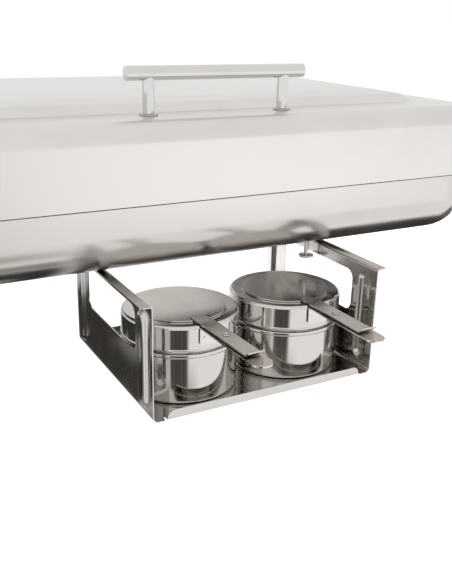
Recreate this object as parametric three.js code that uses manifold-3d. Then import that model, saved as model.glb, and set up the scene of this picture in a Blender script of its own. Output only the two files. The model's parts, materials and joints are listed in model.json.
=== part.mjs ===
// A full-size rectangular chafing dish with a lid on rear hinges, a food pan, and a fuel rack that slides
// out from under the water pan with two shuttered burners on it. Millimetres, +X right, +Y back, +Z up,
// with the origin on the table under the middle of the bounding box.

import * as THREE from 'three';
import * as BufferGeometryUtils from 'three/addons/utils/BufferGeometryUtils.js';
import Module from 'manifold-3d';

const wasm = await Module();
wasm.setup();

// ---- driving dimensions ----

const GAP = 0.3; // left between pieces that touch

const BODY_LENGTH = 585;
const BODY_DEPTH = 380;
const BODY_CORNER = 50; // radius of the vertical corners
const BODY_FRONT_Y = -123.1;
const BODY_SHEET = 1.2;
const BULLNOSE = 36; // radius of the bottom edge
const WATER_PAN_HEIGHT = 59.4;
const SEAM = 0.6; // open line between the water pan and the lid

const RACK_BOTTOM_Z = 20;
const RACK_WIDTH = 216;
const RACK_DEPTH = 184;
const RACK_HEIGHT = 100;
const RACK_SHEET = 1;
const RACK_PULLED_OUT = 67.2; // from the body's front face to the rack's front edge
const RACK_BEND = 5;
const FLANGE_BEND = 2.5;
const FLANGE_WIDTH = 9;
const UPRIGHT_WIDTH = 34.4;
const WINDOW_BOTTOM = 49;
const WINDOW_TOP = 88.5;
const WINDOW_CORNER = 9;
const LIP_HEIGHT = 8.4;
const LIP_LENGTH = 190;
const LIP_CORNER = 6;
const RELIEF_DEPTH = 5; // slits beside each lip's bend
const RELIEF_WIDTH = 2;
const RIB_WIDTH = 19;
const RIB_LOW = 7;
const RIB_HIGH = 93;
const RIB_RISE = 2;

const BURNERS = [
  { side: 'left', x: 53, y: 63, turn: 2.1 },
  { side: 'right', x: 159.7, y: 63.7, turn: 0.8 },
]; // centres from the rack's front left corner, and the handle's angle in degrees
const CUP_RADIUS = 49.9;
const CUP_HEIGHT = 62;
const CUP_EDGE = 3;
const BEAD_LOW = 41.7;
const BEAD_HIGH = 46.5;
const BEAD_RISE = 1.5;
const BURNER_SHEET = 0.8;
const LID_RADIUS = 51.4;
const LID_TOP = 69.7;
const LID_OPENING = 33;
const LID_EDGE = 3;

const SHUTTER_RADIUS = 40;
const STRIP_THICK = 1.2;
const TONGUE_WIDTH = 14.4;
const STRIP_WIDTH = 17.5;
const TONGUE_STEP = 0.7; // the tongue stands this much higher than the disc
const SLIT_DEPTH = 8;
const SLIT_WIDTH = 1.2;
const PIVOT_REACH = 79; // from the burner's centre to the rivet
const TONGUE_REACH = 117.6;
const THUMB_TAB = 8;
const THUMB_ANGLE = 37;
const STRIP_REACH = 137.8;
const BRACKET_DROP = 16;
const RIVET_SHANK = 2;
const RIVET_HEAD = 3.4;

const STUD_HEAD_RADIUS = 7.5;
const STUD_STEM_RADIUS = 2.3;
const STUD_HEAD_LOW = 85;
const STUD_HEAD_THICK = 2;
const STUD_X = 98.8;
const STUD_BEHIND_FACE = 32.4; // from the body's front face back to the stud

const RAIL_SETBACK = 40; // from the body's front face back to the guide's front end
const RAIL_LENGTH = 180;
const RAIL_SHEET = 1.2;
const RAIL_FOOT = 12;

const LID_SKIRT = 49;
const LID_SHOULDER = 18;
const LID_LEDGE_INSET = 54;
const LID_PANEL_RISE = 12;

const FRAME_INSET = 8;
const FRAME_FLANGE_INSET = 36.5;
const FRAME_RISE = 27.5; // top of the pan frame above the seam
const FOOD_PAN_LENGTH = 530;
const FOOD_PAN_DEPTH = 325;
const FOOD_PAN_CORNER = 28;
const FOOD_PAN_DROP = 65;
const FOOD_PAN_SHEET = 0.8;

const HANDLE_LENGTH = 170;
const HANDLE_BAR_RADIUS = 6;
const HANDLE_POST_RADIUS = 5;
const HANDLE_POST_SPACING = 130;
const HANDLE_RISE = 34;
const HANDLE_INSET = 36;

const HINGE_X = 150;
const HINGE_WIDTH = 40;
const HINGE_MIDDLE = 14;
const HINGE_BARREL = 4;
const HINGE_PIN = 2;
const HINGE_LEAF = 1.5;
const HINGE_LEAF_HEIGHT = 26;

const TUBE_RADIUS = 6;
const TUBE_BEND = 25;
const END_FRAME_X = 334;
const END_FRAME_TOP_Z = 174;
const LEG_FRONT_Y = -90.3;
const LEG_BACK_Y = 234.7;
const LEG_BOTTOM_Z = 4;
const FOOT_RADIUS = 9;
const FOOT_HEIGHT = 14;
const BRACKET_SPACING = 180;
const BRACKET_WIDTH = 24;
const BRACKET_THICK = 3;
const SCREW_SHANK = 2.4;
const SCREW_HEAD = 4.5;
const SCREW_HEAD_HEIGHT = 2.8;
const SCREW_HOLE = 2.8;

// ---- places worked out from them ----

const BODY_CENTRE_Y = BODY_FRONT_Y + BODY_DEPTH / 2;
const BODY_BACK_Y = BODY_FRONT_Y + BODY_DEPTH;
const RACK_TOP_Z = RACK_BOTTOM_Z + RACK_HEIGHT;
const BODY_BOTTOM_Z = RACK_TOP_Z + 0.4;
const SEAM_Z = BODY_BOTTOM_Z + WATER_PAN_HEIGHT;
const LID_BOTTOM_Z = SEAM_Z + SEAM;
const LID_SHOULDER_Z = LID_BOTTOM_Z + LID_SKIRT;
const LID_LEDGE_Z = LID_SHOULDER_Z + LID_SHOULDER;
const RACK_FRONT_Y = BODY_FRONT_Y - RACK_PULLED_OUT;
const HINGE_Y = BODY_BACK_Y + HINGE_BARREL + GAP;
const HINGE_Z = SEAM_Z + SEAM / 2;

const CORNER_STEPS = 5;
const ROUND = 24; // sides of the large round pieces
const SMALL_ROUND = 10; // sides of pins, screws and tubes
const MEDIUM_ROUND = 16; // sides of feet, studs and bars
const SIDES = [
  { side: 'left', sign: -1 },
  { side: 'right', sign: 1 },
];
const ENDS = [
  { end: 'front', sign: -1 },
  { end: 'back', sign: 1 },
];

// ---- materials ----

function steel(name, color, roughness) {
  return new THREE.MeshStandardMaterial({ name, color, roughness, metalness: 1 });
}

const polishedSteel = steel('polished_steel', 0xd4d2ce, 0.12);
const satinSteel = steel('satin_steel', 0xb9b4ab, 0.32);
const chrome = steel('chrome', 0xdcdcdc, 0.06);
const screwSteel = steel('screw_steel', 0xa8a8a6, 0.28);
const rubber = new THREE.MeshStandardMaterial({
  name: 'black_rubber',
  color: 0x1c1c1c,
  roughness: 0.85,
  metalness: 0,
});

// ---- solids ----

function signedVolume(position, index) {
  const corners = [new THREE.Vector3(), new THREE.Vector3(), new THREE.Vector3()];
  let sum = 0;
  for (let i = 0; i < index.length; i += 3) {
    corners.forEach((corner, k) => corner.fromBufferAttribute(position, index[i + k]));
    sum += corners[0].dot(corners[1].clone().cross(corners[2]));
  }
  return sum / 6;
}

// Merges shared vertices, drops faces with no area, and turns the faces outwards.
function closed(geometry) {
  geometry.deleteAttribute('normal');
  geometry.deleteAttribute('uv');
  const merged = BufferGeometryUtils.mergeVertices(geometry, 1e-4);
  const all = merged.index.array;
  const index = [];
  for (let i = 0; i < all.length; i += 3) {
    const [a, b, c] = [all[i], all[i + 1], all[i + 2]];
    if (a !== b && b !== c && c !== a) {
      index.push(a, b, c);
    }
  }
  if (signedVolume(merged.attributes.position, index) < 0) {
    index.reverse();
  }
  merged.setIndex(index);
  return merged;
}

function toSolid(geometry) {
  const source = closed(geometry);
  const mesh = new wasm.Mesh({
    numProp: 3,
    vertProperties: new Float32Array(source.attributes.position.array),
    triVerts: new Uint32Array(source.index.array),
  });
  return new wasm.Manifold(mesh);
}

function fromSolid(solid) {
  const mesh = solid.getMesh();
  const geometry = new THREE.BufferGeometry();
  geometry.setAttribute('position', new THREE.BufferAttribute(mesh.vertProperties, 3));
  geometry.setIndex(new THREE.BufferAttribute(mesh.triVerts, 1));
  return geometry;
}

function join(first, ...others) {
  return fromSolid(others.reduce((solid, other) => solid.add(toSolid(other)), toSolid(first)));
}

function cut(geometry, ...tools) {
  return fromSolid(tools.reduce((solid, tool) => solid.subtract(toSolid(tool)), toSolid(geometry)));
}

// A box between two corners.
function box(low, high) {
  const size = low.map((value, axis) => high[axis] - value);
  const middle = low.map((value, axis) => (high[axis] + value) / 2);
  return new THREE.BoxGeometry(...size).translate(...middle);
}

// A cylinder standing on z = low, about the Z axis.
function post(radius, low, high, sides = SMALL_ROUND) {
  const geometry = new THREE.CylinderGeometry(radius, radius, high - low, sides);
  return geometry.rotateX(Math.PI / 2).translate(0, 0, (low + high) / 2);
}

// A cylinder along X, about the X axis.
function rod(radius, low, high, sides = SMALL_ROUND) {
  const geometry = new THREE.CylinderGeometry(radius, radius, high - low, sides);
  return geometry.rotateZ(Math.PI / 2).translate((low + high) / 2, 0, 0);
}

// A profile of [radius, z] points turned about the Z axis.
function turned(profile, sides = ROUND) {
  const points = profile.map(([radius, z]) => new THREE.Vector2(radius, z));
  return new THREE.LatheGeometry(points, sides).rotateX(Math.PI / 2);
}

// Points of [radius, z] along an arc, with angles in degrees.
function arc(centreRadius, centreZ, radius, from, to, steps = 4) {
  const points = [];
  for (let step = 0; step <= steps; step += 1) {
    const angle = THREE.MathUtils.degToRad(from + ((to - from) * step) / steps);
    points.push([centreRadius + radius * Math.cos(angle), centreZ + radius * Math.sin(angle)]);
  }
  return points;
}

// A flat outline in X and Y, raised from z = low to z = high.
function plate(shape, low, high, curveSegments = 8) {
  const options = { depth: high - low, bevelEnabled: false, curveSegments };
  return new THREE.ExtrudeGeometry(shape, options).translate(0, 0, low);
}

function roundedRectangle(left, bottom, right, top, radius) {
  const shape = new THREE.Shape();
  shape.moveTo(left + radius, bottom);
  shape.lineTo(right - radius, bottom);
  shape.absarc(right - radius, bottom + radius, radius, -Math.PI / 2, 0);
  shape.lineTo(right, top - radius);
  shape.absarc(right - radius, top - radius, radius, 0, Math.PI / 2);
  shape.lineTo(left + radius, top);
  shape.absarc(left + radius, top - radius, radius, Math.PI / 2, Math.PI);
  shape.lineTo(left, bottom + radius);
  shape.absarc(left + radius, bottom + radius, radius, Math.PI, Math.PI * 1.5);
  return shape;
}

// One level of a drawn shell: a rounded rectangle pulled in from the full size by the inset.
function outline(length, depth, corner, inset, z) {
  const radius = Math.max(corner - inset, 6);
  const reachX = length / 2 - inset - radius;
  const reachY = depth / 2 - inset - radius;
  const points = [];
  for (let quarter = 0; quarter < 4; quarter += 1) {
    const signX = quarter === 0 || quarter === 3 ? 1 : -1;
    const signY = quarter < 2 ? 1 : -1;
    for (let step = 0; step <= CORNER_STEPS; step += 1) {
      const angle = ((quarter + step / CORNER_STEPS) * Math.PI) / 2;
      const x = signX * reachX + radius * Math.cos(angle);
      const y = signY * reachY + radius * Math.sin(angle);
      points.push(x, y, z);
    }
  }
  return points;
}

// A shell lofted through levels of [inset, z]. An open list gets a flat face at each end, and a ring's
// list closes on itself.
function lofted(length, depth, corner, levels, isRing) {
  const around = 4 * (CORNER_STEPS + 1);
  const positions = levels.flatMap(([inset, z]) => outline(length, depth, corner, inset, z));
  const index = [];
  const bands = isRing ? levels.length : levels.length - 1;
  for (let band = 0; band < bands; band += 1) {
    const next = (band + 1) % levels.length;
    for (let i = 0; i < around; i += 1) {
      const j = (i + 1) % around;
      const [a, b] = [band * around + i, band * around + j];
      const [c, d] = [next * around + i, next * around + j];
      index.push(a, b, d, a, d, c);
    }
  }
  if (!isRing) {
    const last = (levels.length - 1) * around;
    for (let i = 1; i < around - 1; i += 1) {
      index.push(0, i + 1, i);
      index.push(last, last + i, last + i + 1);
    }
  }
  const geometry = new THREE.BufferGeometry();
  geometry.setAttribute('position', new THREE.Float32BufferAttribute(positions, 3));
  geometry.setIndex(index);
  return geometry;
}

// ---- the object, built up of named meshes ----

const chafingDish = new THREE.Group();

function addPiece(parent, name, geometry, material) {
  const mesh = new THREE.Mesh(closed(geometry), material);
  mesh.geometry.computeVertexNormals();
  mesh.name = name;
  parent.add(mesh);
  return mesh;
}

function groupAt(parent, x, y, z, turnDegrees = 0) {
  const group = new THREE.Group();
  group.position.set(x, y, z);
  group.rotation.z = THREE.MathUtils.degToRad(turnDegrees);
  parent.add(group);
  return group;
}

// ---- water pan, pan frame and food pan ----

function waterPan() {
  const nose = arc(BULLNOSE, BODY_BOTTOM_Z + BULLNOSE, BULLNOSE, -90, -180, 7);
  const inside = BULLNOSE - BODY_SHEET;
  const levels = [
    ...nose,
    [0, SEAM_Z],
    [6, SEAM_Z],
    [6, SEAM_Z - BODY_SHEET],
    [BODY_SHEET, SEAM_Z - BODY_SHEET],
    ...arc(BULLNOSE, BODY_BOTTOM_Z + BULLNOSE, inside, -180, -90, 7),
  ];
  return lofted(BODY_LENGTH, BODY_DEPTH, BODY_CORNER, levels, false);
}

function panFrame() {
  const top = SEAM_Z + FRAME_RISE;
  const foot = SEAM_Z + GAP;
  const levels = [
    [FRAME_INSET + BODY_SHEET, SEAM_Z - 7],
    [FRAME_INSET, SEAM_Z - 7],
    [FRAME_INSET, foot],
    [FRAME_INSET - 3.5, foot],
    [FRAME_INSET - 3.5, foot + BODY_SHEET],
    [FRAME_INSET, foot + BODY_SHEET],
    [FRAME_INSET, top],
    [FRAME_FLANGE_INSET, top],
    [FRAME_FLANGE_INSET, top - BODY_SHEET],
    [FRAME_INSET + BODY_SHEET, top - BODY_SHEET],
  ];
  return lofted(BODY_LENGTH, BODY_DEPTH, BODY_CORNER, levels, true);
}

function foodPan() {
  const rim = SEAM_Z + FRAME_RISE + GAP;
  const bottom = rim + FOOD_PAN_SHEET - FOOD_PAN_DROP;
  const wall = 14; // the rim's width
  const taper = 7; // how far the wall leans in over its height
  const bend = 12;
  const levels = [
    ...arc(wall + taper + bend, bottom + bend, bend, -90, -180, 3),
    [wall, rim],
    [0, rim],
    [0, rim + FOOD_PAN_SHEET],
    [wall + FOOD_PAN_SHEET, rim + FOOD_PAN_SHEET],
    ...arc(wall + taper + bend, bottom + bend, bend - FOOD_PAN_SHEET, -180, -90, 3),
  ];
  return lofted(FOOD_PAN_LENGTH, FOOD_PAN_DEPTH, FOOD_PAN_CORNER, levels, false);
}

const body = groupAt(chafingDish, 0, BODY_CENTRE_Y, 0);
addPiece(body, 'water_pan', waterPan(), polishedSteel);
addPiece(body, 'pan_frame', panFrame(), satinSteel);
addPiece(body, 'food_pan', foodPan(), satinSteel);

// ---- lid ----

function lidSkin(offset) {
  const radius = LID_SHOULDER - offset;
  const centreZ = LID_SHOULDER_Z;
  const ledge = LID_LEDGE_Z - offset;
  const levels = [[offset, LID_BOTTOM_Z]];
  levels.push(...arc(LID_SHOULDER, centreZ, radius, 180, 90, 5));
  levels.push([LID_LEDGE_INSET, ledge]);
  levels.push([LID_LEDGE_INSET + 10, ledge + LID_PANEL_RISE * 0.6]);
  levels.push([LID_LEDGE_INSET + 30, ledge + LID_PANEL_RISE * 0.85]);
  levels.push([LID_LEDGE_INSET + 80, ledge + LID_PANEL_RISE]);
  return levels;
}

function lidShell() {
  const levels = [...lidSkin(BODY_SHEET).reverse(), ...lidSkin(0)];
  const shell = lofted(BODY_LENGTH, BODY_DEPTH, BODY_CORNER, levels, false);
  const holes = SIDES.map(({ sign }) => {
    const hole = post(SCREW_HOLE, LID_LEDGE_Z - 5, LID_LEDGE_Z + 5);
    return hole.translate((sign * HANDLE_POST_SPACING) / 2, HANDLE_INSET - BODY_DEPTH / 2, 0);
  });
  return cut(shell, ...holes);
}

function lidHandle() {
  const bottom = LID_LEDGE_Z + 1.5;
  const barZ = LID_LEDGE_Z + HANDLE_RISE;
  let handle = rod(HANDLE_BAR_RADIUS, -HANDLE_LENGTH / 2, HANDLE_LENGTH / 2, MEDIUM_ROUND).translate(0, 0, barZ);
  SIDES.forEach(({ sign }) => {
    const x = (sign * HANDLE_POST_SPACING) / 2;
    handle = join(handle, post(HANDLE_POST_RADIUS, bottom, barZ).translate(x, 0, 0));
    handle = cut(handle, post(SCREW_HOLE, bottom - 1, bottom + 12).translate(x, 0, 0));
  });
  return handle;
}

function ringWasher(outer, inner, low, high) {
  const profile = [
    [inner, low],
    [outer, low],
    [outer, high],
    [inner, high],
    [inner, low],
  ];
  return turned(profile, SMALL_ROUND + 4);
}

// A screw whose head is below z = seat and whose shank goes up from it.
function upwardScrew(seat, shankLength) {
  const profile = [
    [0, seat - SCREW_HEAD_HEIGHT],
    [SCREW_HEAD * 0.6, seat - SCREW_HEAD_HEIGHT],
    [SCREW_HEAD, seat - SCREW_HEAD_HEIGHT * 0.4],
    [SCREW_HEAD, seat],
    [SCREW_SHANK, seat],
    [SCREW_SHANK, seat + shankLength],
    [0, seat + shankLength],
  ];
  return turned(profile, SMALL_ROUND);
}

addPiece(body, 'lid_shell', lidShell(), polishedSteel);
const lidHandleGroup = groupAt(body, 0, HANDLE_INSET - BODY_DEPTH / 2, 0);
addPiece(lidHandleGroup, 'lid_handle', lidHandle(), chrome);
SIDES.forEach(({ side, sign }) => {
  const place = groupAt(lidHandleGroup, (sign * HANDLE_POST_SPACING) / 2, 0, 0);
  const washer = ringWasher(HANDLE_POST_RADIUS + 3, SCREW_HOLE, LID_LEDGE_Z + GAP / 2, LID_LEDGE_Z + 1.35);
  addPiece(place, `handle_washer_${side}`, washer, screwSteel);
  const seat = LID_LEDGE_Z - BODY_SHEET - GAP / 2;
  addPiece(place, `handle_screw_${side}`, upwardScrew(seat, 12), screwSteel);
});

// ---- hinges at the back ----

// A leaf with its barrel pieces, drawn with the pin on the X axis and the leaf going up for direction 1
// and down for direction -1.
function hingeLeaf(direction, barrels) {
  const half = HINGE_WIDTH / 2;
  const front = -HINGE_BARREL;
  const clear = HINGE_BARREL + 1;
  const low = Math.min(direction * clear, direction * HINGE_LEAF_HEIGHT);
  const high = Math.max(direction * clear, direction * HINGE_LEAF_HEIGHT);
  let leaf = box([-half, front, low], [half, front + HINGE_LEAF, high]);
  barrels.forEach(([from, to]) => {
    const neckLow = Math.min(0, direction * (clear + 1));
    const neckHigh = Math.max(0, direction * (clear + 1));
    leaf = join(leaf, box([from, front, neckLow], [to, front + HINGE_LEAF, neckHigh]));
    leaf = join(leaf, rod(HINGE_BARREL, from, to));
    leaf = cut(leaf, rod(HINGE_PIN + GAP, from - 1, to + 1));
  });
  return leaf;
}

SIDES.forEach(({ side, sign }) => {
  const place = groupAt(chafingDish, sign * HINGE_X, HINGE_Y, HINGE_Z);
  const half = HINGE_WIDTH / 2;
  const middle = HINGE_MIDDLE / 2;
  const outer = [
    [-half, -middle - GAP],
    [middle + GAP, half],
  ];
  addPiece(place, `hinge_leaf_pan_${side}`, hingeLeaf(-1, [[-middle, middle]]), satinSteel);
  addPiece(place, `hinge_leaf_lid_${side}`, hingeLeaf(1, outer), satinSteel);
  const heads = [rod(HINGE_PIN + 1, -half - 2, -half - GAP), rod(HINGE_PIN + 1, half + GAP, half + 2)];
  addPiece(place, `hinge_pin_${side}`, join(rod(HINGE_PIN, -half - 1, half + 1), ...heads), screwSteel);
});

// ---- end frames, brackets and feet ----

function endFrame() {
  const low = LEG_BOTTOM_Z;
  const top = END_FRAME_TOP_Z;
  const [front, back] = [LEG_FRONT_Y, LEG_BACK_Y];
  const path = new THREE.CurvePath();
  const at = (y, z) => new THREE.Vector3(0, y, z);
  path.add(new THREE.LineCurve3(at(front, low), at(front, top - TUBE_BEND)));
  path.add(new THREE.QuadraticBezierCurve3(
    at(front, top - TUBE_BEND), at(front, top), at(front + TUBE_BEND, top)));
  path.add(new THREE.LineCurve3(at(front + TUBE_BEND, top), at(back - TUBE_BEND, top)));
  path.add(new THREE.QuadraticBezierCurve3(
    at(back - TUBE_BEND, top), at(back, top), at(back, top - TUBE_BEND)));
  path.add(new THREE.LineCurve3(at(back, top - TUBE_BEND), at(back, low)));
  const section = new THREE.Shape();
  section.absarc(0, 0, TUBE_RADIUS, 0, Math.PI * 2);
  const options = { extrudePath: path, steps: 44, curveSegments: 5 };
  const tube = new THREE.ExtrudeGeometry(section, options);
  const holes = ENDS.map(({ sign }) => {
    const y = BODY_CENTRE_Y + (sign * BRACKET_SPACING) / 2;
    return post(SCREW_HOLE, top - TUBE_RADIUS - 1, top + 2).translate(0, y, 0);
  });
  return cut(tube, ...holes);
}

// An arm from the body's end wall to under the carrying bar, on the right. Its own Y is 0.
function frameBracket() {
  const wall = BODY_LENGTH / 2 + GAP;
  const armTop = END_FRAME_TOP_Z - TUBE_RADIUS - GAP;
  const half = BRACKET_WIDTH / 2;
  const seat = box([wall, -half, armTop - 9], [wall + BRACKET_THICK, half, armTop + 10]);
  const arm = box([wall, -half, armTop - BRACKET_THICK], [END_FRAME_X + 8, half, armTop]);
  const hole = post(SCREW_HOLE, armTop - 5, armTop + 1).translate(END_FRAME_X, 0, 0);
  return cut(join(seat, arm), hole);
}

function rubberFoot() {
  const profile = [
    [0, 0],
    [FOOT_RADIUS - 1, 0],
    [FOOT_RADIUS, 1],
    [FOOT_RADIUS, FOOT_HEIGHT - 1.5],
    [FOOT_RADIUS - 1.5, FOOT_HEIGHT],
    [TUBE_RADIUS + GAP, FOOT_HEIGHT],
    [TUBE_RADIUS + GAP, LEG_BOTTOM_Z - GAP],
    [0, LEG_BOTTOM_Z - GAP],
  ];
  return turned(profile, MEDIUM_ROUND);
}

SIDES.forEach(({ side, sign }) => {
  const frameX = sign * END_FRAME_X;
  addPiece(groupAt(chafingDish, frameX, 0, 0), `end_frame_${side}`, endFrame(), chrome);
  ENDS.forEach(({ end, sign: endSign }) => {
    const legY = endSign < 0 ? LEG_FRONT_Y : LEG_BACK_Y;
    addPiece(groupAt(chafingDish, frameX, legY, 0), `foot_${end}_${side}`, rubberFoot(), rubber);
    const armY = BODY_CENTRE_Y + (endSign * BRACKET_SPACING) / 2;
    const arm = frameBracket();
    if (sign < 0) {
      arm.rotateZ(Math.PI);
    }
    addPiece(groupAt(chafingDish, 0, armY, 0), `frame_bracket_${end}_${side}`, arm, satinSteel);
    const seat = END_FRAME_TOP_Z - TUBE_RADIUS - BRACKET_THICK - 2 * GAP;
    const screwPlace = groupAt(chafingDish, frameX, armY, 0);
    addPiece(screwPlace, `bracket_screw_${end}_${side}`, upwardScrew(seat, 9), screwSteel);
  });
});

// ---- guides and stud under the water pan ----

// The right guide's section in X and Z: a lip under the rack's flange, a wall and a foot on the pan.
function guideSection() {
  const flangeEnd = RACK_WIDTH / 2 + FLANGE_WIDTH;
  const lipInner = RACK_WIDTH / 2 + FLANGE_BEND;
  const lipTop = RACK_HEIGHT - RACK_SHEET - GAP;
  const wallIn = flangeEnd + 0.8;
  const wallOut = wallIn + RAIL_SHEET;
  const top = BODY_BOTTOM_Z - RACK_BOTTOM_Z;
  const shape = new THREE.Shape();
  shape.moveTo(lipInner, lipTop - RAIL_SHEET);
  shape.lineTo(wallOut, lipTop - RAIL_SHEET);
  shape.lineTo(wallOut, top - RAIL_SHEET);
  shape.lineTo(wallOut + RAIL_FOOT, top - RAIL_SHEET);
  shape.lineTo(wallOut + RAIL_FOOT, top);
  shape.lineTo(wallIn, top);
  shape.lineTo(wallIn, lipTop);
  shape.lineTo(lipInner, lipTop);
  return shape;
}

// A section drawn in X and Z, drawn out along +Y from y = 0.
function alongY(shape, length, curveSegments = 6) {
  const options = { depth: length, bevelEnabled: false, curveSegments };
  return new THREE.ExtrudeGeometry(shape, options).rotateX(Math.PI / 2).translate(0, length, 0);
}

function guideRail() {
  const flangeEnd = RACK_WIDTH / 2 + FLANGE_WIDTH;
  const lipInner = RACK_WIDTH / 2 + FLANGE_BEND;
  const low = RACK_HEIGHT - RACK_SHEET - GAP - RAIL_SHEET;
  const high = BODY_BOTTOM_Z - RACK_BOTTOM_Z;
  const stopLow = [lipInner, RAIL_LENGTH - RAIL_SHEET, low];
  const stopHigh = [flangeEnd + 0.8 + RAIL_SHEET, RAIL_LENGTH, high];
  return join(alongY(guideSection(), RAIL_LENGTH), box(stopLow, stopHigh));
}

function mirroredInX(geometry) {
  return closed(geometry.clone().scale(-1, 1, 1));
}

function guideStud() {
  const top = BODY_BOTTOM_Z - RACK_BOTTOM_Z;
  const headTop = STUD_HEAD_LOW + STUD_HEAD_THICK;
  const profile = [
    [0, STUD_HEAD_LOW],
    [STUD_HEAD_RADIUS - 1.2, STUD_HEAD_LOW],
    [STUD_HEAD_RADIUS, STUD_HEAD_LOW + 0.9],
    [STUD_HEAD_RADIUS - 0.5, headTop],
    [STUD_STEM_RADIUS, headTop + 0.6],
    [STUD_STEM_RADIUS, top],
    [0, top],
  ];
  return turned(profile, MEDIUM_ROUND);
}

SIDES.forEach(({ side, sign }) => {
  const rail = sign > 0 ? guideRail() : mirroredInX(closed(guideRail()));
  const railPlace = groupAt(chafingDish, 0, BODY_FRONT_Y + RAIL_SETBACK, RACK_BOTTOM_Z);
  addPiece(railPlace, `guide_rail_${side}`, rail, satinSteel);
});
const studPlace = groupAt(chafingDish, STUD_X, BODY_FRONT_Y + STUD_BEHIND_FACE, RACK_BOTTOM_Z);
addPiece(studPlace, 'guide_stud_right', guideStud(), chrome);

// ---- fuel rack ----

// The right half of the bent sheet's section in X and Z, from the middle of the floor's top face round the
// flange and back to the middle of its underside.
function rackHalfSection() {
  const half = RACK_WIDTH / 2;
  const inner = half - RACK_SHEET;
  const bendX = half - RACK_BEND;
  const flangeX = half + FLANGE_BEND - RACK_SHEET;
  const flangeZ = RACK_HEIGHT - FLANGE_BEND;
  const tip = half + FLANGE_WIDTH;
  return [
    ...arc(bendX, RACK_BEND, RACK_BEND - RACK_SHEET, -90, 0, 4),
    ...arc(flangeX, flangeZ, flangeX - inner, 180, 90, 3),
    [tip, RACK_HEIGHT],
    [tip, RACK_HEIGHT - RACK_SHEET],
    ...arc(flangeX, flangeZ, flangeX - half, 90, 180, 3),
    ...arc(bendX, RACK_BEND, RACK_BEND, 0, -90, 4),
  ];
}

function rackTray() {
  const right = rackHalfSection();
  const left = right.map(([x, z]) => [-x, z]).reverse();
  const points = [...right, ...left].map(([x, z]) => new THREE.Vector2(x, z));
  let tray = alongY(new THREE.Shape(points), RACK_DEPTH);

  const windowShape = roundedRectangle(
    UPRIGHT_WIDTH, WINDOW_BOTTOM, RACK_DEPTH - UPRIGHT_WIDTH, WINDOW_TOP, WINDOW_CORNER);
  const windowTool = plate(windowShape, -RACK_WIDTH, RACK_WIDTH, 4);
  windowTool.rotateX(Math.PI / 2).rotateZ(Math.PI / 2);
  tray = cut(tray, windowTool);

  ENDS.forEach(({ sign }) => {
    const lipY = sign < 0 ? 0 : RACK_DEPTH - RACK_SHEET;
    const slitY = sign < 0 ? -1 : RACK_DEPTH - RELIEF_DEPTH;
    SIDES.forEach(({ sign: side }) => {
      const near = side * (LIP_LENGTH / 2);
      const far = side * (LIP_LENGTH / 2 + RELIEF_WIDTH);
      const low = [Math.min(near, far), slitY, -1];
      tray = cut(tray, box(low, [Math.max(near, far), slitY + RELIEF_DEPTH + 1, LIP_HEIGHT]));
    });
    const half = LIP_LENGTH / 2;
    const lip = new THREE.Shape();
    lip.moveTo(-half, 0);
    lip.lineTo(half, 0);
    lip.lineTo(half, LIP_HEIGHT - LIP_CORNER);
    lip.absarc(half - LIP_CORNER, LIP_HEIGHT - LIP_CORNER, LIP_CORNER, 0, Math.PI / 2);
    lip.absarc(-half + LIP_CORNER, LIP_HEIGHT - LIP_CORNER, LIP_CORNER, Math.PI / 2, Math.PI);
    tray = join(tray, alongY(lip, RACK_SHEET).translate(0, lipY, 0));
  });

  SIDES.forEach(({ sign }) => {
    ENDS.forEach(({ sign: end }) => {
      const y = end < 0 ? UPRIGHT_WIDTH / 2 : RACK_DEPTH - UPRIGHT_WIDTH / 2;
      const length = RIB_HIGH - RIB_LOW - RIB_WIDTH;
      const flat = RIB_RISE / (RIB_WIDTH / 2);
      const rib = new THREE.CapsuleGeometry(RIB_WIDTH / 2, length, 3, 12);
      rib.rotateX(Math.PI / 2).scale(flat, 1, 1).translate(0, y, (RIB_LOW + RIB_HIGH) / 2);
      const outside = rib.clone().translate((sign * RACK_WIDTH) / 2, 0, 0);
      const inside = rib.clone().translate(sign * (RACK_WIDTH / 2 - RACK_SHEET), 0, 0);
      tray = cut(join(tray, outside), inside);
    });
  });
  return tray;
}

const rack = groupAt(chafingDish, 0, RACK_FRONT_Y, RACK_BOTTOM_Z);
addPiece(rack, 'rack_tray', rackTray(), polishedSteel);

// ---- burners ----

function burnerCup() {
  const inner = CUP_RADIUS - BURNER_SHEET;
  const middle = (BEAD_LOW + BEAD_HIGH) / 2;
  const profile = [
    [0, 0],
    ...arc(CUP_RADIUS - CUP_EDGE, CUP_EDGE, CUP_EDGE, -90, 0, 3),
    [CUP_RADIUS, BEAD_LOW],
    [CUP_RADIUS + BEAD_RISE, middle - 1],
    [CUP_RADIUS + BEAD_RISE, middle + 1],
    [CUP_RADIUS, BEAD_HIGH - 0.4],
    [CUP_RADIUS, CUP_HEIGHT],
    [inner, CUP_HEIGHT],
    ...arc(CUP_RADIUS - CUP_EDGE, CUP_EDGE, CUP_EDGE - BURNER_SHEET, 0, -90, 3),
    [0, BURNER_SHEET],
  ];
  return turned(profile);
}

function burnerLid() {
  const edgeRadius = LID_RADIUS - LID_EDGE;
  const edgeZ = LID_TOP - LID_EDGE;
  const profile = [
    [LID_RADIUS, BEAD_HIGH],
    ...arc(edgeRadius, edgeZ, LID_EDGE, 0, 90, 3),
    [LID_OPENING, LID_TOP],
    [LID_OPENING, LID_TOP - BURNER_SHEET],
    ...arc(edgeRadius, edgeZ, LID_EDGE - BURNER_SHEET, 90, 0, 3),
    [LID_RADIUS - BURNER_SHEET, BEAD_HIGH],
    [LID_RADIUS, BEAD_HIGH],
  ];
  return turned(profile);
}

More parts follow.
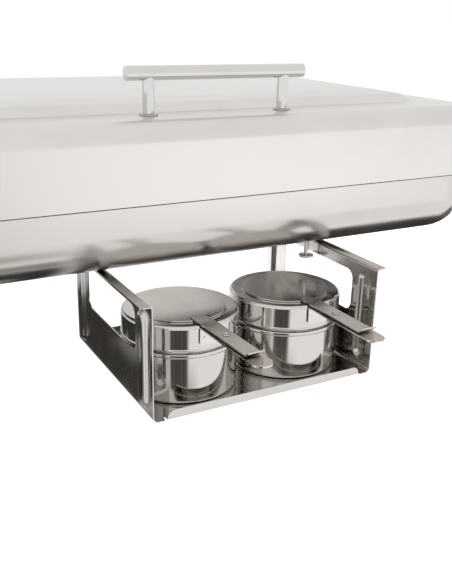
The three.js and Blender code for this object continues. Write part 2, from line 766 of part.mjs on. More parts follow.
// The lower strip: a bracket down the lid's front wall and a straight grip with a round tip.
function handleStrip() {
  const half = STRIP_WIDTH / 2;
  const start = -LID_RADIUS - GAP;
  const tip = -STRIP_REACH + half;
  const shape = new THREE.Shape();
  shape.moveTo(half, start);
  shape.lineTo(-half, start);
  shape.lineTo(-half, tip);
  shape.absarc(0, tip, half, Math.PI, Math.PI * 2);
  const grip = plate(shape, LID_TOP - STRIP_THICK, LID_TOP, 10);
  const low = [-half, start - STRIP_THICK, LID_TOP - BRACKET_DROP];
  const bracket = box(low, [half, start, LID_TOP]);
  const hole = post(RIVET_SHANK + GAP, LID_TOP - 3, LID_TOP + 1).translate(0, -PIVOT_REACH, 0);
  return cut(join(grip, bracket), hole);
}

// The shutter: a disc with two slits beside the root of a raised tongue, which ends in a thumb tab.
function shutter() {
  const half = TONGUE_WIDTH / 2;
  const low = LID_TOP + GAP;
  const tongueLow = low + TONGUE_STEP;
  const slitInner = -SHUTTER_RADIUS + SLIT_DEPTH;
  const disc = post(SHUTTER_RADIUS, low, low + STRIP_THICK, ROUND);
  const slot = half + SLIT_WIDTH;
  const notch = box([-slot, -SHUTTER_RADIUS - 1, low - 1], [slot, slitInner, low + 3]);
  const tongue = box([-half, -TONGUE_REACH, tongueLow], [half, slitInner + 6, tongueLow + STRIP_THICK]);
  const tab = box([-half, -THUMB_TAB, 0], [half, 0, STRIP_THICK]);
  tab.rotateX(THREE.MathUtils.degToRad(-THUMB_ANGLE)).translate(0, -TONGUE_REACH + 0.4, tongueLow);
  const hole = post(RIVET_SHANK + GAP, low - 1, low + 5).translate(0, -PIVOT_REACH, 0);
  return cut(join(cut(disc, notch), tongue, tab), hole);
}

function pivotRivet() {
  const under = LID_TOP - STRIP_THICK - GAP / 2;
  const over = LID_TOP + GAP + TONGUE_STEP + STRIP_THICK + GAP / 2;
  const profile = [
    [0, under - 1.2],
    [RIVET_HEAD - 0.8, under - 1.2],
    [RIVET_HEAD, under - 0.5],
    [RIVET_HEAD, under],
    [RIVET_SHANK, under],
    [RIVET_SHANK, over],
    [RIVET_HEAD, over],
    [RIVET_HEAD - 0.3, over + 0.9],
    [RIVET_HEAD - 1.4, over + 1.6],
    [0, over + 1.9],
  ];
  return turned(profile, SMALL_ROUND);
}

BURNERS.forEach(({ side, x, y, turn }) => {
  const burner = groupAt(rack, x - RACK_WIDTH / 2, y, RACK_SHEET + GAP, turn);
  addPiece(burner, `burner_cup_${side}`, burnerCup(), chrome);
  addPiece(burner, `burner_lid_${side}`, burnerLid(), chrome);
  addPiece(burner, `handle_strip_${side}`, handleStrip(), satinSteel);
  addPiece(burner, `shutter_${side}`, shutter(), satinSteel);
  const pivot = groupAt(burner, 0, -PIVOT_REACH, 0);
  const washerLow = LID_TOP + 0.15;
  const washerHigh = LID_TOP + GAP + TONGUE_STEP - 0.15;
  const washer = ringWasher(RIVET_HEAD + 0.6, RIVET_SHANK + GAP, washerLow, washerHigh);
  addPiece(pivot, `pivot_washer_${side}`, washer, screwSteel);
  addPiece(pivot, `pivot_rivet_${side}`, pivotRivet(), screwSteel);
});

export default chafingDish;
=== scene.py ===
"""Looks for a chafing dish with its fuel rack half pulled out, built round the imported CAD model.

Shapes are given in millimetres about a place taken from the CAD model's boxes, and are made in metres.
"""

import json
import math

import bmesh
import bpy
from mathutils import Matrix, Vector
from mathutils.geometry import delaunay_2d_cdt


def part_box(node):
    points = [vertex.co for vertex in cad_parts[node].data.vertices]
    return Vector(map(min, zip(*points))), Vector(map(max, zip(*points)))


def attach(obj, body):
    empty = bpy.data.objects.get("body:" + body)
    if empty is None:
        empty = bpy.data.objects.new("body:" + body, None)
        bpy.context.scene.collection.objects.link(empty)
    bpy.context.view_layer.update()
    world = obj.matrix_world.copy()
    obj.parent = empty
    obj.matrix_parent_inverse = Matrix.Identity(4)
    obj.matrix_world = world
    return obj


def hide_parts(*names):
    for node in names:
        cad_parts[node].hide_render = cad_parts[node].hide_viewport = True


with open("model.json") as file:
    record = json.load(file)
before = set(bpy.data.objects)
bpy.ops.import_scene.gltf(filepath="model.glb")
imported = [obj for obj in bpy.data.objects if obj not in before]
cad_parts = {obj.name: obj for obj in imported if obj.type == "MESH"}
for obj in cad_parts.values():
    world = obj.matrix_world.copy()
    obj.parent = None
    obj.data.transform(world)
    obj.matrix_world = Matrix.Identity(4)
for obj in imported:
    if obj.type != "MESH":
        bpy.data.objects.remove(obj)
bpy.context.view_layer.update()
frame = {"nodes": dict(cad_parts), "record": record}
scene = bpy.context.scene

MM = 0.001
SIDES = ("left", "right")
ENDS = ("front", "back")

# ---- materials ----

STEEL = (0.61, 0.588, 0.567)
# The lid's colour is a lighter copy of the pan's steel: painted light that makes the lid read brighter than
# the pan.
LIT_LID_STEEL = (0.70, 0.68, 0.658)
CLOUD_SCALE = 22
GRAIN_SCALE = 900
WAVE_SCALE = 14
SPECK_SCALE = 1400
CLOUD_SHADE = 0.94  # of the colour, where the cloud is darkest


def new_material(name):
    material = bpy.data.materials.new(name)
    material.use_nodes = True
    nodes = material.node_tree.nodes
    return material, nodes, material.node_tree.links, nodes["Principled BSDF"]


def noise(nodes, links, scale, stretch=(1, 1, 1), detail=3):
    """A noise over the piece itself, stretched along an axis by a small number there."""
    place = nodes.new("ShaderNodeTexCoord")
    mapping = nodes.new("ShaderNodeMapping")
    mapping.inputs["Scale"].default_value = stretch
    texture = nodes.new("ShaderNodeTexNoise")
    texture.inputs["Scale"].default_value = scale
    texture.inputs["Detail"].default_value = detail
    links.new(place.outputs["Object"], mapping.inputs["Vector"])
    links.new(mapping.outputs["Vector"], texture.inputs["Vector"])
    return texture.outputs["Fac"]


def ranged(nodes, links, value, low, high, start=0.3, stop=0.7):
    node = nodes.new("ShaderNodeMapRange")
    node.inputs["From Min"].default_value = start
    node.inputs["From Max"].default_value = stop
    node.inputs["To Min"].default_value = low
    node.inputs["To Max"].default_value = high
    links.new(value, node.inputs["Value"])
    return node.outputs["Result"]


def bumped(nodes, links, height, depth, below=None):
    node = nodes.new("ShaderNodeBump")
    node.inputs["Strength"].default_value = 1.0
    node.inputs["Distance"].default_value = depth
    links.new(height, node.inputs["Height"])
    if below is not None:
        links.new(below, node.inputs["Normal"])
    return node.outputs["Normal"]


def tinted(nodes, links, value, dark, light):
    node = nodes.new("ShaderNodeMix")
    node.data_type = "RGBA"
    node.inputs["A"].default_value = (*dark, 1)
    node.inputs["B"].default_value = (*light, 1)
    links.new(value, node.inputs["Factor"])
    return node.outputs["Result"]


def steel(name, colour, rough, stretch, grain, wave, spread=0.35):
    """Metal with a fine grain, slow waves in the sheet, and a roughness and shade that vary a little."""
    material, nodes, links, shader = new_material(name)
    shader.inputs["Metallic"].default_value = 1.0
    cloud = noise(nodes, links, CLOUD_SCALE, detail=4)
    lines = noise(nodes, links, GRAIN_SCALE, stretch)
    worn = ranged(nodes, links, cloud, rough * (1 - spread), rough * (1 + spread))
    links.new(worn, shader.inputs["Roughness"])
    dark = tuple(channel * CLOUD_SHADE for channel in colour)
    shade = ranged(nodes, links, cloud, 0, 1)
    links.new(tinted(nodes, links, shade, dark, colour), shader.inputs["Base Color"])
    slow = bumped(nodes, links, noise(nodes, links, WAVE_SCALE, detail=1), wave)
    links.new(bumped(nodes, links, lines, grain, slow), shader.inputs["Normal"])
    return material


def rubber():
    material, nodes, links, shader = new_material("foot_rubber")
    speck = noise(nodes, links, SPECK_SCALE, detail=5)
    shade = ranged(nodes, links, speck, 0, 1)
    colour = tinted(nodes, links, shade, (0.018, 0.018, 0.018), (0.04, 0.04, 0.038))
    links.new(colour, shader.inputs["Base Color"])
    links.new(ranged(nodes, links, speck, 0.6, 0.85), shader.inputs["Roughness"])
    links.new(bumped(nodes, links, speck, 0.00008), shader.inputs["Normal"])
    return material


MATERIALS = {
    "polished_steel": steel("polished_steel", STEEL, 0.21, (0.03, 1, 1), 2e-7, 1e-4, 0.15),
    # painted light: a lighter copy of the polished steel, worn by the lid
    "lit_lid_steel": steel("lit_lid_steel", LIT_LID_STEEL, 0.31, (0.03, 1, 1), 2e-7, 3e-5, 0.1),
    "rack_steel": steel("rack_steel", STEEL, 0.16, (1, 0.04, 1), 2e-7, 1e-4),
    "satin_steel": steel("satin_steel", (0.56, 0.54, 0.52), 0.32, (0.03, 1, 1), 1e-6, 1e-4, 0.12),
    "shutter_steel": steel("shutter_steel", (0.70, 0.675, 0.645), 0.16, (1, 0.03, 1), 4e-7, 4e-5),
    "disc_steel": steel("disc_steel", (0.64, 0.615, 0.59), 0.2, (1, 0.03, 1), 4e-7, 4e-5),
    "burner_chrome": steel("burner_chrome", (0.64, 0.62, 0.60), 0.09, (1, 1, 0.1), 1e-7, 6e-5),
    "frame_chrome": steel("frame_chrome", (0.66, 0.65, 0.64), 0.07, (1, 1, 1), 1e-7, 2e-5),
    "fastener_steel": steel("fastener_steel", (0.50, 0.48, 0.46), 0.22, (1, 1, 1), 1e-6, 0),
    "foot_rubber": rubber(),
}

# ---- shapes: each is a list of points in millimetres and a list of faces ----

ARC_STEP = 9  # degrees for each edge of a rounded corner


def softened(points, closed=False):
    """Rounds the corners of a line of (x, y, radius) points."""
    result = []
    count = len(points)
    for i, (x, y, radius) in enumerate(points):
        is_end = not closed and i in (0, count - 1)
        if radius <= 0 or is_end:
            result.append((x, y))
            continue
        here = Vector((x, y))
        before = (Vector(points[i - 1][:2]) - here).normalized()
        after = (Vector(points[(i + 1) % count][:2]) - here).normalized()
        opening = before.angle(after)
        centre = here + (before + after).normalized() * (radius / math.sin(opening / 2))
        start = here + before * (radius / math.tan(opening / 2)) - centre
        turn = math.pi - opening
        side = 1 if before.cross(after) < 0 else -1
        steps = max(2, math.ceil(math.degrees(turn) / ARC_STEP))
        for k in range(steps + 1):
            spoke = Matrix.Rotation(side * turn * k / steps, 2) @ start
            result.append(tuple(centre + spoke))
    return result


def merged(*parts):
    points = []
    faces = []
    for part_points, part_faces in parts:
        first = len(points)
        points.extend(part_points)
        faces.extend([tuple(first + i for i in face) for face in part_faces])
    return points, faces


def moved(part, matrix):
    points, faces = part
    return [tuple(matrix @ Vector(point)) for point in points], faces


def shifted(part, x=0, y=0, z=0):
    return moved(part, Matrix.Translation((x, y, z)))


def turned(profile, sides=96):
    """A line of (radius, height) points turned about Z. A line that comes back to its start is a ring."""
    is_ring = profile[0] == profile[-1]
    line = profile[:-1] if is_ring else profile
    points = []
    rows = []
    for radius, height in line:
        if radius < 1e-6:
            rows.append([len(points)] * sides)
            points.append((0, 0, height))
            continue
        rows.append(list(range(len(points), len(points) + sides)))
        for k in range(sides):
            angle = 2 * math.pi * k / sides
            points.append((radius * math.cos(angle), radius * math.sin(angle), height))
    if is_ring:
        rows.append(rows[0])
    return points, bands(rows)


def bands(rows):
    """Faces between rows of point numbers that go all the way round."""
    faces = []
    for lower, upper in zip(rows, rows[1:]):
        for k in range(len(lower)):
            j = (k + 1) % len(lower)
            face = list(dict.fromkeys((lower[k], lower[j], upper[j], upper[k])))
            if len(face) > 2:
                faces.append(tuple(face))
    return faces


def level(length, depth, corner, inset, height, steps=14):
    """A rounded rectangle pulled in by the inset."""
    radius = max(corner - inset, 6)
    reach_x = length / 2 - inset - radius
    reach_y = depth / 2 - inset - radius
    points = []
    for quarter, (sign_x, sign_y) in enumerate(((1, 1), (-1, 1), (-1, -1), (1, -1))):
        for k in range(steps + 1):
            angle = (quarter + k / steps) * math.pi / 2
            x = sign_x * reach_x + radius * math.cos(angle)
            y = sign_y * reach_y + radius * math.sin(angle)
            points.append((x, y, height))
    return points


def lofted(length, depth, corner, path):
    """A drawn shell through (inset, height) levels. An open path gets a flat face at each end."""
    is_ring = path[0] == path[-1]
    line = path[:-1] if is_ring else path
    points = []
    rows = []
    for inset, height in line:
        ring = level(length, depth, corner, inset, height)
        rows.append(list(range(len(points), len(points) + len(ring))))
        points.extend(ring)
    if is_ring:
        rows.append(rows[0])
        return points, bands(rows)
    return points, [*bands(rows), tuple(rows[0]), tuple(rows[-1])]


def swept(path, radius, sides=32):
    """A round bar along a path in the YZ plane."""
    points = []
    rows = []
    for i, (y, z) in enumerate(path):
        before = Vector(path[max(i - 1, 0)])
        after = Vector(path[min(i + 1, len(path) - 1)])
        along = (after - before).normalized()
        rows.append(list(range(len(points), len(points) + sides)))
        for k in range(sides):
            angle = 2 * math.pi * k / sides
            out = radius * math.cos(angle)
            points.append((radius * math.sin(angle), y - along.y * out, z + along.x * out))
    return points, [*bands(rows), tuple(rows[0]), tuple(rows[-1])]


def is_inside(point, loop):
    x, y = point
    crossings = 0
    for (ax, ay), (bx, by) in zip(loop, loop[1:] + loop[:1]):
        if (ay > y) != (by > y) and x < ax + (bx - ax) * (y - ay) / (by - ay):
            crossings += 1
    return crossings % 2 == 1


def filled(outline, holes=(), lines=()):
    """A flat sheet over an outline with holes. Lines are kept as edges, so that the sheet can bend there."""
    points = []
    edges = []
    for loop in (outline, *holes):
        first = len(points)
        points.extend(Vector(point) for point in loop)
        edges.extend((first + i, first + (i + 1) % len(loop)) for i in range(len(loop)))
    for line in lines:
        first = len(points)
        points.extend(Vector(point) for point in line)
        edges.append((first, first + 1))
    found, _, triangles, *_ = delaunay_2d_cdt(points, edges, [], 0, 1e-5)
    faces = []
    for triangle in triangles:
        centre = sum((found[i] for i in triangle), Vector((0, 0))) / len(triangle)
        if is_inside(centre, list(outline)) and not any(is_inside(centre, list(hole)) for hole in holes):
            faces.append(tuple(triangle))
    return [tuple(point) for point in found], faces


def lifted(flat, place):
    """Puts each point of a flat sheet in space."""
    points, faces = flat
    return [place(x, y) for x, y in points], faces


def strip(path, place, low, high):
    """Faces along a bend's path, drawn out from one place to another."""
    points = [place(*point, low) for point in path] + [place(*point, high) for point in path]
    count = len(path)
    return points, [(i, i + 1, count + i + 1, count + i) for i in range(count - 1)]


def bend(centre, radius, start, stop, steps=8):
    """Points on an arc, with angles in degrees."""
    angles = [math.radians(start + (stop - start) * k / steps) for k in range(steps + 1)]
    return [(centre[0] + radius * math.cos(a), centre[1] + radius * math.sin(a)) for a in angles]


# ---- pieces ----


def add(name, part, place, body, slot, nodes, sheet=0, edge=0, sharp=40, look=None):
    """Makes a piece at a place in metres, to be shown for its CAD nodes.

    It has its slot's finish, unless another look is named.
    """
    points, faces = part
    mesh = bpy.data.meshes.new(name)
    mesh.from_pydata([place + Vector(point) * MM for point in points], [], faces)
    work = bmesh.new()
    work.from_mesh(mesh)
    bmesh.ops.remove_doubles(work, verts=work.verts, dist=0.004 * MM)
    bmesh.ops.recalc_face_normals(work, faces=work.faces)
    work.to_mesh(mesh)
    work.free()
    mesh.shade_smooth()
    mesh.set_sharp_from_angle(angle=math.radians(sharp))
    piece = bpy.data.objects.new(name, mesh)
    scene.collection.objects.link(piece)
    mesh.materials.append(MATERIALS[look or slot])
    if sheet:
        solid = piece.modifiers.new("sheet", "SOLIDIFY")
        solid.thickness = sheet * MM
        solid.offset = 0
        solid.use_even_offset = True
        solid.use_quality_normals = True
    if edge:
        bevel = piece.modifiers.new("edge", "BEVEL")
        bevel.width = edge * MM
        bevel.segments = 2
        bevel.limit_method = "ANGLE"
        bevel.angle_limit = math.radians(50)
    weighted = piece.modifiers.new("normals", "WEIGHTED_NORMAL")
    weighted.keep_sharp = True
    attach(piece, body)
    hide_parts(*nodes)


def middle(node):
    """The middle of a node's box in X and Y, at its lowest height."""
    low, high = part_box(node)
    return Vector(((low.x + high.x) / 2, (low.y + high.y) / 2, low.z))


# ---- water pan, pan frame, food pan and lid ----

BODY = (585, 380, 50)
FOOD_PAN = (530, 325, 28)
BULLNOSE = 36
SHEET = 1.2


def water_pan():
    low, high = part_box("water_pan")
    top = (high.z - low.z) / MM
    path = softened([
        (70, 0, 0),
        (0, 0, BULLNOSE),
        (0, top, 0.6),
        (6, top, 0.5),
        (6, top - SHEET, 0.4),
        (SHEET, top - SHEET, 0.6),
        (SHEET, SHEET, BULLNOSE - SHEET),
        (70, SHEET, 0),
    ])
    add("water_pan_skin", lofted(*BODY, path), middle("water_pan"), "root", "polished_steel", ["water_pan"])


def pan_frame():
    low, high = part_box("pan_frame")
    top = (high.z - low.z) / MM
    ledge = 7.3
    path = softened([
        (8 + SHEET, 0, 0.3),
        (8, 0, 0.3),
        (8, ledge, 0.3),
        (4.5, ledge, 0.5),
        (4.5, ledge + SHEET, 0.5),
        (8, ledge + SHEET, 0.8),
        (8, top, 2.5),
        (36.5, top, 0.5),
        (36.5, top - SHEET, 0.5),
        (8 + SHEET, top - SHEET, 1.5),
    ], closed=True)
    ring = [*path, path[0]]
    add("pan_frame_skin", lofted(*BODY, ring), middle("pan_frame"), "root", "satin_steel", ["pan_frame"])


def food_pan():
    low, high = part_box("food_pan")
    top = (high.z - low.z) / MM
    path = softened([
        (90, 0, 0),
        (21, 0, 12),
        (14, top - 0.8, 2.5),
        (0, top - 0.8, 0.3),
        (0, top, 0.3),
        (14.8, top, 3),
        (21.8, 0.8, 11.2),
        (90, 0.8, 0),
    ])
    add("food_pan_skin", lofted(*FOOD_PAN, path), middle("food_pan"), "root", "satin_steel", ["food_pan"])


def lid_shell():
    def skin(offset):
        return [
            (offset, 67 - offset, 18 - offset),
            (54, 67 - offset, 6),
            (64, 74.2 - offset, 8),
            (84, 77.2 - offset, 30),
            (134, 79 - offset, 0),
        ]

    inner = skin(SHEET)[::-1]
    hem = [(SHEET, SHEET, 0.4), (3.4, SHEET, 0.5), (3.4, -0.25, 0.5), (0, -0.25, 0.5)]
    path = softened([*inner, *hem, *skin(0)])
    # The lid wears the lighter copy of the polished steel, which is painted light.
    add("lid_skin", lofted(*BODY, path), middle("lid_shell"), "lid", "polished_steel", ["lid_shell"],
        look="lit_lid_steel")


water_pan()
pan_frame()
food_pan()
lid_shell()

# ---- fuel rack ----

RACK_WIDTH = 216
RACK_DEPTH = 184
RACK_HEIGHT = 100
RACK_SHEET = 1
UPRIGHT = 34.4
WINDOW = {"low": 49, "high": 88.5, "radius": 9}
RIB = {"low": 7, "high": 93, "radius": 9.5, "rise": 3.6}


def stadium(middle_y, radius, steps=18):
    """The outline of a rib's ring, as (y, z) points."""
    low = RIB["low"] + RIB["radius"]
    high = RIB["high"] - RIB["radius"]
    upper = bend((middle_y, high), radius, 0, 180, steps)
    lower = bend((middle_y, low), radius, 180, 360, steps)
    return upper + lower


def rib(middle_y, place):
    """A pressed rib: rings that rise steeply from the flat sheet to a broad, gently rounded crest."""
    radii = [RIB["radius"] * (1 - k / 20) for k in range(20)]
    points = []
    rows = []
    for radius in radii:
        inward = 1 - radius / RIB["radius"]
        flank = (1 - math.cos(math.pi * min(inward / 0.5, 1))) / 2
        rise = RIB["rise"] * (0.75 * flank + 0.25 * (1 - (1 - inward) ** 2))
        ring = stadium(middle_y, radius)
        rows.append(list(range(len(points), len(points) + len(ring))))
        points.extend(place(y, z, rise) for y, z in ring)
    return points, [*bands(rows), tuple(rows[-1])]


def rack_side(sign):
    """A side plate with its window and two ribs, the bend to the floor, and the flange along its top."""
    wall = RACK_WIDTH / 2 - RACK_SHEET / 2
    window = softened([
        (UPRIGHT, WINDOW["low"], WINDOW["radius"]),
        (RACK_DEPTH - UPRIGHT, WINDOW["low"], WINDOW["radius"]),
        (RACK_DEPTH - UPRIGHT, WINDOW["high"], WINDOW["radius"]),
        (UPRIGHT, WINDOW["high"], WINDOW["radius"]),
    ], closed=True)
    middles = (UPRIGHT / 2, RACK_DEPTH - UPRIGHT / 2)
    outlines = [stadium(y, RIB["radius"]) for y in middles]
    holders = [stadium(y, RIB["radius"] + 0.5) for y in middles]

    def on_wall(y, z, rise=0.0):
        return sign * (wall + rise), y, z

    def along(x, z, y):
        return sign * x, y, z

    plate = [(0, 5), (RACK_DEPTH, 5), (RACK_DEPTH, 97.5), (0, 97.5)]
    parts = [lifted(filled(plate, [window, *holders]), on_wall)]
    parts += [lifted(filled(outer, [inner]), on_wall) for outer, inner in zip(holders, outlines)]
    parts += [rib(y, on_wall) for y in middles]
    parts.append(strip(bend((103, 5), 4.5, 0, -90), along, 0, RACK_DEPTH))
    parts.append(strip(bend((109.5, 97.5), 2, 180, 90), along, 0, RACK_DEPTH))
    flange = softened([(109.5, 0, 0), (117, 0, 2.5), (117, RACK_DEPTH, 2.5), (109.5, RACK_DEPTH, 0)])
    parts.append(lifted(filled(flange), lambda x, y: (sign * x, y, RACK_HEIGHT - RACK_SHEET / 2)))
    return merged(*parts)


def rack_floor():
    """The floor, slit beside each lip, and the lips at the front and back."""
    half = 95
    corner = [(-103, 0), (-97, 0), (-97, 5), (-half, 5), (-half, 2)]
    front = corner + [(-x, y) for x, y in reversed(corner)]
    outline = front + [(x, RACK_DEPTH - y) for x, y in reversed(front)]
    parts = [lifted(filled(outline), lambda x, y: (x, y, RACK_SHEET / 2))]
    lip = softened([(-half, 2, 0), (half, 2, 0), (half, 8.4, 6), (-half, 8.4, 6)], closed=True)
    for sign in (-1, 1):
        def across(y, z, x, sign=sign):
            return x, y if sign < 0 else RACK_DEPTH - y, z

        parts.append(strip(bend((2, 2), 1.5, 180, 270, 5), across, -half, half))
        parts.append(lifted(filled(lip), lambda x, z, place=across: place(0.5, z, x)))
    return merged(*parts)


def rack_tray():
    low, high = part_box("rack_tray")
    place = Vector(((low.x + high.x) / 2, low.y, low.z))
    part = merged(rack_side(-1), rack_side(1), rack_floor())
    add("rack_sheet", part, place, "rack", "rack_steel", ["rack_tray"], sheet=RACK_SHEET, edge=0.18)


rack_tray()

# ---- burners ----

CUP_RADIUS = 49.9
LID_RADIUS = 51.4
LID_TOP = 69.7
DISC_RADIUS = 40
TONGUE = 7.2  # half its width
GRIP = 8.75  # half the lower strip's width
GRIP_END = 129.05  # to the middle of its round tip
GRIP_FOLD = 53.8
HANDLE_SHEET = 1.2
HANDLE_GAP = 0.15
PIVOT = 79
HANDLE_TURN = {"left": 2.1, "right": 0.8}
THUMB_FOLD = 117.6
THUMB_TAB = 8
THUMB_ANGLE = 37
WELD_DROP = 6.5  # from the grip down to the spot weld in its bracket
WELD_SIDE = -5.5
WELD_RADIUS = 2.2
WELD_DEPTH = 0.7


def burner_cup():
    inner = CUP_RADIUS - 0.8
    return turned(softened([
        (0, 1.6, 0),
        (36, 1.6, 1),
        (38, 0, 1.5),
        (CUP_RADIUS, 0, 3),
        (CUP_RADIUS, 41.7, 0.5),
        (CUP_RADIUS + 1.5, 42.8, 1.1),
        (CUP_RADIUS + 1.5, 45.2, 1.1),
        (CUP_RADIUS, 46.2, 0.4),
        (CUP_RADIUS, 62, 0.3),
        (inner, 62, 0.3),
        (inner, 0.8, 2.2),
        (38.4, 0.8, 1),
        (36.4, 2.4, 1),
        (0, 2.4, 0),
    ]))


def burner_lid():
    inner = LID_RADIUS - 0.8
    return turned(softened([
        (LID_RADIUS, 46.5, 0.3),
        (LID_RADIUS, 49.4, 0.5),
        (LID_RADIUS - 0.3, 50.2, 0.5),
        (LID_RADIUS - 0.3, LID_TOP, 3),
        (33, LID_TOP, 0.3),
        (33, LID_TOP - 0.8, 0.3),
        (inner - 0.3, LID_TOP - 0.8, 2.2),
        (inner - 0.3, 50.2, 0.5),
        (inner, 49.4, 0.5),
        (inner, 46.5, 0.3),
    ], closed=True) + [(LID_RADIUS, 46.8)])


def shutter():
    """The disc with two slits, and the tongue that steps up between them and ends in a thumb tab."""
    slot = TONGUE + 1.2
    reach = math.degrees(math.asin(slot / DISC_RADIUS))
    rim = bend((0, 0), DISC_RADIUS, -90 + reach, 270 - reach, 96)
    end = THUMB_FOLD + THUMB_TAB
    tongue = [(-slot, -32), (-TONGUE, -32), (-TONGUE, -end), (TONGUE, -end), (TONGUE, -32), (slot, -32)]
    radii = (0, 0, 2.5, 2.5, 0, 0)
    cut = softened([(*rim[-1], 0), *[(x, y, r) for (x, y), r in zip(tongue, radii)], (*rim[0], 0)])
    outline = rim[:-1] + cut[:-1]
    fold = THUMB_FOLD
    radius = 3
    tilt = math.radians(THUMB_ANGLE)
    ramp_start, ramp_length = 33, 27
    ramp = [ramp_start + ramp_length * k / 9 for k in range(10)]
    folds = [fold + radius * tilt * k / 5 for k in range(6)]
    lines = [((-TONGUE, -y), (TONGUE, -y)) for y in ramp + folds]

    def place(x, y):
        step = min(max((-y - ramp_start) / ramp_length, 0), 1) if abs(x) <= TONGUE + 0.01 else 0
        height = 0.7 * (1 - math.cos(math.pi * step)) / 2
        past = -y - fold
        if past <= 0:
            return x, y, height
        angle = min(past / radius, tilt)
        straight = max(past - radius * tilt, 0)
        out = radius * math.sin(angle) + straight * math.cos(tilt)
        up = radius * (1 - math.cos(angle)) + straight * math.sin(tilt)
        return x, -fold - out, height + up

    return lifted(filled(outline, lines=lines), place)


def handle_strip():
    """A bracket down the lid's wall, bent over into a straight grip with a round tip."""
    tip = bend((0, -GRIP_END), GRIP, 180, 360, 24)
    foot = [(GRIP, -38, 1.5), (-GRIP, -38, 1.5)]
    outline = tip + softened([(*tip[-1], 0), *foot, (*tip[0], 0)])[1:-1]
    fold = GRIP_FOLD
    radius = 1.5
    arc = radius * math.pi / 2
    lines = [((-GRIP, -fold + arc * k / 5), (GRIP, -fold + arc * k / 5)) for k in range(6)]
    weld = Vector((WELD_SIDE, -fold + arc + WELD_DROP))
    for k in range(1, 6):
        ring = bend(weld, WELD_RADIUS * k / 5, 0, 360, 16)
        lines += list(zip(ring, ring[1:]))

    def place(x, y):
        past = y + fold
        if past <= 0:
            return x, y, 0
        angle = min(past / radius, math.pi / 2)
        near = min((Vector((x, y)) - weld).length / WELD_RADIUS, 1)
        dimple = WELD_DEPTH / 2 * (1 + math.cos(math.pi * near))
        drop = -radius * (1 - math.cos(angle)) - max(past - arc, 0)
        return x, -fold + radius * math.sin(angle) + dimple, drop

    return lifted(filled(outline, lines=lines), place)


def pivot_rivet():
    under = LID_TOP - HANDLE_SHEET - HANDLE_GAP
    over = LID_TOP + 0.3 + 0.7 + HANDLE_SHEET + HANDLE_GAP
    return turned(softened([
        (0, under - 1.2, 0),
        (3.4, under - 1.2, 0.7),
        (3.4, under, 0.15),
        (2, under, 0.1),
        (2, over, 0.1),
        (3.4, over, 0.15),
        (3.3, over + 0.6, 0.5),
        (2.2, over + 1, 0.6),
        (1.5, over - 1.2, 0.2),
        (0, over - 1.2, 0),
    ]), 40)


def washer(outer, inner, low, high):
    corners = [(inner, low, 0.1), (outer, low, 0.15), (outer, high, 0.15), (inner, high, 0.1)]
    path = softened(corners, closed=True)
    return turned([*path, path[0]], 40)


def burners():
    for side in SIDES:
        centre = middle(f"burner_cup_{side}")
        spin = Matrix.Rotation(math.radians(HANDLE_TURN[side]), 4, "Z")
        rides = f"burner_lid_{side}"
        add(f"cup_{side}", burner_cup(), centre, "rack", "burner_chrome", [f"burner_cup_{side}"])
        add(f"cup_lid_{side}", burner_lid(), centre, rides, "burner_chrome", [f"burner_lid_{side}"])
        disc = moved(shifted(shutter(), z=LID_TOP + 0.9), spin)
        add(f"disc_{side}", disc, centre, f"shutter_{side}", "shutter_steel", [f"shutter_{side}"],
            sheet=HANDLE_SHEET, edge=0.25, look="disc_steel")
        grip = moved(shifted(handle_strip(), z=LID_TOP - 0.6), spin)
        add(f"grip_{side}", grip, centre, rides, "shutter_steel", [f"handle_strip_{side}"],
            sheet=HANDLE_SHEET, edge=0.25)
        rivet = moved(shifted(pivot_rivet(), y=-PIVOT), spin)
        add(f"rivet_{side}", rivet, centre, rides, "fastener_steel", [f"pivot_rivet_{side}"])
        ring = moved(shifted(washer(4, 2.3, LID_TOP + 0.15, LID_TOP + 0.85), y=-PIVOT), spin)
        add(f"washer_{side}", ring, centre, rides, "fastener_steel", [f"pivot_washer_{side}"])


burners()

# ---- guide stud ----


def guide_stud():
    return turned(softened([
        (0, 0, 0),
        (7.5, 0, 0.9),
        (7.5, 2, 0.6),
        (2.3, 2.8, 1.2),
        (2.3, 15.4, 0),
        (0, 15.4, 0),
    ]), 56)


add("stud_right", guide_stud(), middle("guide_stud_right"), "root", "burner_chrome", ["guide_stud_right"])

# ---- end frames, feet and screws ----


def end_frame(node):
    low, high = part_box(node)
    depth = (high.y - low.y) / MM - 12
    top = (high.z - low.z) / MM - 6
    curve = 25
    steps = 14

    def corner(a, b, c):
        rows = [(1 - k / steps, k / steps) for k in range(steps + 1)]
        return [tuple(s * s * p + 2 * s * t * q + t * t * r for p, q, r in zip(a, b, c)) for s, t in rows]

    front, back = -depth / 2, depth / 2
    path = [(front, 0)]
    path += corner((front, top - curve), (front, top), (front + curve, top))
    path += corner((back - curve, top), (back, top), (back, top - curve))
    path.append((back, 0))
    return swept(path, 6)


def foot():
    return turned(softened([
        (0, 0, 0),
        (9, 0, 1.2),
        (9, 4, 0.4),
        (8.5, 4.6, 0.4),
        (9, 5.2, 0.4),
        (9, 14, 1.8),
        (6.3, 14, 0.3),
        (6.3, 3.7, 0),
        (0, 3.7, 0),
    ]), 64)


def screw(length):
    return turned(softened([
        (0, 0.6, 0),
        (1.8, 0.6, 0.2),
        (2.1, 0, 0.2),
        (3, 0, 1.2),
        (4.5, 1.7, 0.6),
        (4.5, 2.8, 0.2),
        (2.4, 2.8, 0.2),
        (2.4, length, 0.4),
        (0, length, 0),
    ]), 40)


for side in SIDES:
    node = f"end_frame_{side}"
    add(f"carry_frame_{side}", end_frame(node), middle(node), "root", "frame_chrome", [node])
    for end in ENDS:
        node = f"foot_{end}_{side}"
        add(f"rubber_{end}_{side}", foot(), middle(node), "root", "foot_rubber", [node])
        node = f"bracket_screw_{end}_{side}"
        add(f"screw_{end}_{side}", screw(11.8), middle(node), "root", "fastener_steel", [node])

# ---- CAD nodes that stay, with finished materials ----

